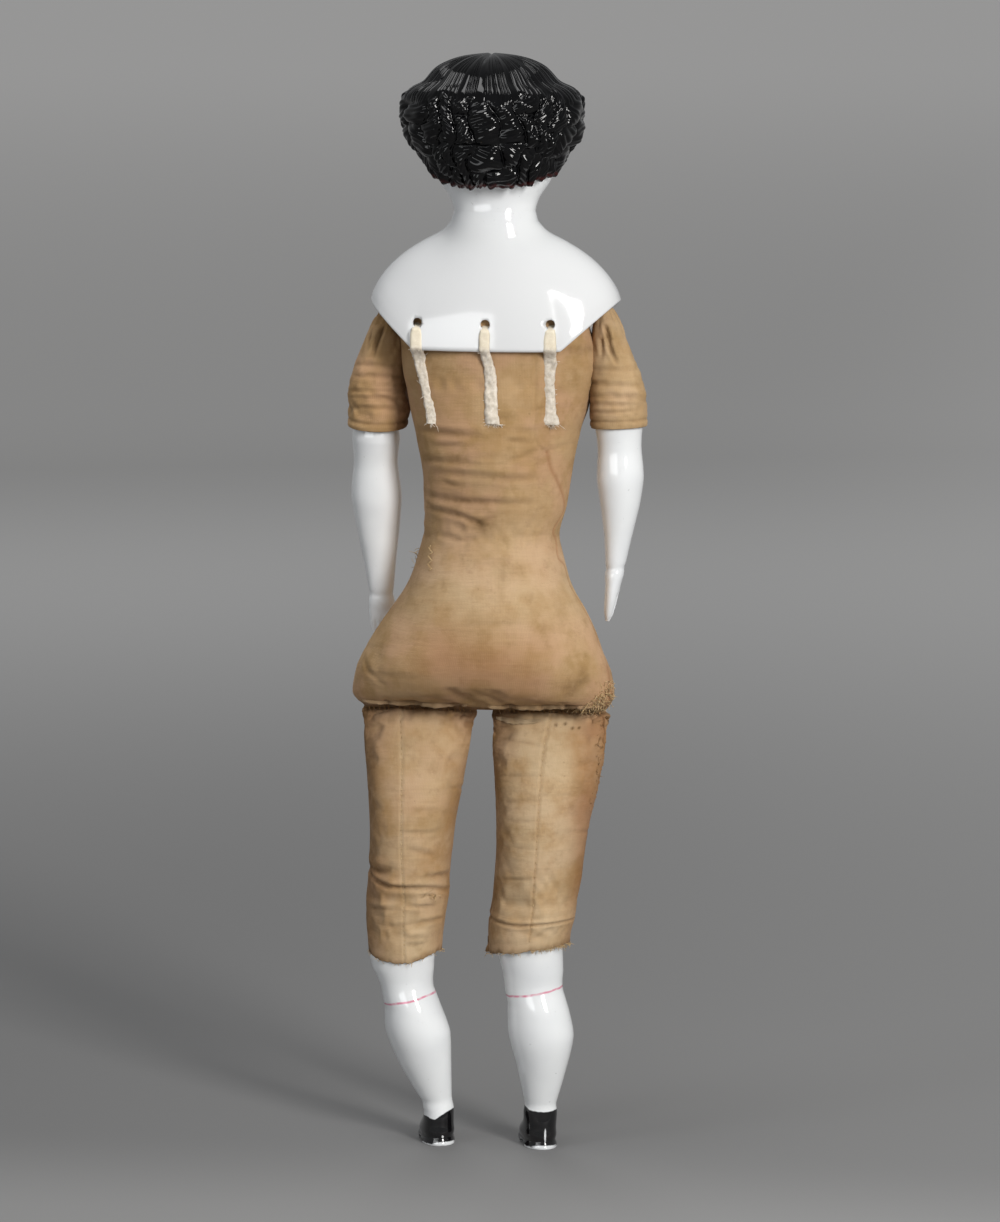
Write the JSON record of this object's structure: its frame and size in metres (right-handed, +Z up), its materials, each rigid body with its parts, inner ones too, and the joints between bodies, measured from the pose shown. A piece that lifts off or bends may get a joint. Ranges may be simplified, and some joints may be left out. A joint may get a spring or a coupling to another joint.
{
  "type": "china doll",
  "caption": "Standing china doll with a glazed porcelain shoulder head, forearms and booted lower legs sewn to a stuffed muslin body that swings at the hips and shoulders.",
  "frame": {"origin": "on the floor under the middle of the standing doll's bounding box", "axes": "+Z up from the soles to the crown, -Y the way the doll faces, +X towards the doll's left hand"},
  "size_m": [0.1406, 0.0804, 0.5078],
  "materials": {
    "porcelain": "gloss",
    "muslin": "matte",
    "stuffing": "matte",
    "cotton_tape": "matte",
    "thread": "matte"
  },
  "bodies": {
    "torso": {"shoulder_head": "porcelain", "torso_cover": "muslin", "torso_stuffing": "stuffing", "back_tape_left": "cotton_tape", "back_tape_middle": "cotton_tape", "back_tape_right": "cotton_tape", "front_tape_left": "cotton_tape", "front_tape_middle": "cotton_tape", "front_tape_right": "cotton_tape", "hip_repair_stitching": "thread", "waist_repair_stitching": "thread", "left_hip_stitching": "thread", "right_hip_stitching": "thread"},
    "left_leg": {"left_thigh_cover": "muslin", "left_thigh_stuffing": "stuffing", "left_lower_leg": "porcelain", "left_leg_binding": "thread"},
    "right_leg": {"right_thigh_cover": "muslin", "right_thigh_stuffing": "stuffing", "right_lower_leg": "porcelain", "right_leg_binding": "thread"},
    "left_shoulder": {"left_shoulder_stitching": "thread"},
    "right_shoulder": {"right_shoulder_stitching": "thread"},
    "left_arm": {"left_sleeve_cover": "muslin", "left_sleeve_stuffing": "stuffing", "left_forearm": "porcelain", "left_arm_binding": "thread"},
    "right_arm": {"right_sleeve_cover": "muslin", "right_sleeve_stuffing": "stuffing", "right_forearm": "porcelain", "right_arm_binding": "thread"}
  },
  "joints": [
    {"name": "left_hip", "type": "hinge", "parent": "torso", "child": "left_leg", "pos_m": [0.03455, 0.00232, 0.206], "axis": [-1, 0, 0], "range_deg": [-30, 90]},
    {"name": "right_hip", "type": "hinge", "parent": "torso", "child": "right_leg", "pos_m": [-0.02595, 0.00232, 0.206], "axis": [-1, 0, 0], "range_deg": [-30, 90]},
    {"name": "left_shoulder_swing", "type": "hinge", "parent": "torso", "child": "left_shoulder", "pos_m": [0.05475, -0.00068, 0.3875], "axis": [-0.9945, -0.1045, 0], "range_deg": [-45, 75]},
    {"name": "left_shoulder_lift", "type": "hinge", "parent": "left_shoulder", "child": "left_arm", "pos_m": [0.05475, -0.00068, 0.3875], "axis": [0, -1, 0], "range_deg": [0, 75]},
    {"name": "right_shoulder_swing", "type": "hinge", "parent": "torso", "child": "right_shoulder", "pos_m": [-0.05525, -0.00068, 0.3875], "axis": [-0.9945, 0.1045, 0], "range_deg": [-45, 75]},
    {"name": "right_shoulder_lift", "type": "hinge", "parent": "right_shoulder", "child": "right_arm", "pos_m": [-0.05525, -0.00068, 0.3875], "axis": [0, 1, 0], "range_deg": [0, 75]}
  ]
}
